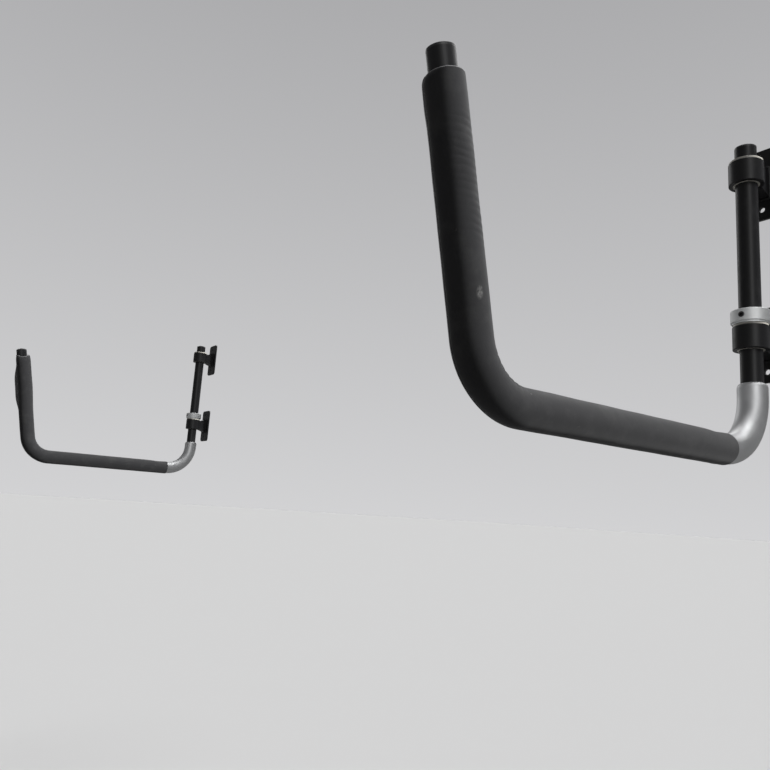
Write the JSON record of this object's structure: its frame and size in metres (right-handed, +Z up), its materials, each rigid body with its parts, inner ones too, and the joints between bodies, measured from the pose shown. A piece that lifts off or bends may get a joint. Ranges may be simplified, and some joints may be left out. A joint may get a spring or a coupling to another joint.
{
  "type": "wall-mounted kayak rack",
  "caption": "Pair of foam-padded J-shaped arms on bright elbows and swivel posts, which fold against the wall and cradle a kayak.",
  "frame": {"origin": "on the wall plane, at the middle of the rectangle of wall screws, midway between the two posts", "axes": "+X along the wall to the right of a person who faces it, +Y into the wall, +Z up"},
  "size_m": [2.088, 0.6665, 0.4923],
  "materials": {
    "black_paint": "satin",
    "foam": "matte",
    "cap_plastic": "matte",
    "elbow_metal": "satin",
    "zinc_steel": "satin",
    "black_steel": "satin",
    "nylon": "satin"
  },
  "bodies": {
    "wall_brackets": {"left_upper_bracket": "black_paint", "left_lower_bracket": "black_paint", "left_upper_bush": "nylon", "left_lower_bush": "nylon", "right_upper_bracket": "black_paint", "right_lower_bracket": "black_paint", "right_upper_bush": "nylon", "right_lower_bush": "nylon"},
    "left_arm": {"left_arm_tube": "black_paint", "left_foam_sleeve": "foam", "left_arm_cap": "cap_plastic", "left_elbow": "elbow_metal", "left_spring_pin": "zinc_steel", "left_socket_screw": "black_steel", "left_post": "black_paint", "left_post_cap": "cap_plastic", "left_thrust_washer": "zinc_steel", "left_collar": "zinc_steel", "left_collar_screw": "black_steel"},
    "right_arm": {"right_arm_tube": "black_paint", "right_foam_sleeve": "foam", "right_arm_cap": "cap_plastic", "right_elbow": "elbow_metal", "right_spring_pin": "zinc_steel", "right_socket_screw": "black_steel", "right_post": "black_paint", "right_post_cap": "cap_plastic", "right_thrust_washer": "zinc_steel", "right_collar": "zinc_steel", "right_collar_screw": "black_steel"}
  },
  "joints": [
    {"name": "left_arm_swing", "type": "hinge", "parent": "wall_brackets", "child": "left_arm", "pos_m": [-1.016, -0.051, 0], "axis": [0, 0, 1], "range_deg": [-90, 90]},
    {"name": "right_arm_swing", "type": "hinge", "parent": "wall_brackets", "child": "right_arm", "pos_m": [1.016, -0.051, 0], "axis": [0, 0, 1], "range_deg": [-90, 90]}
  ]
}
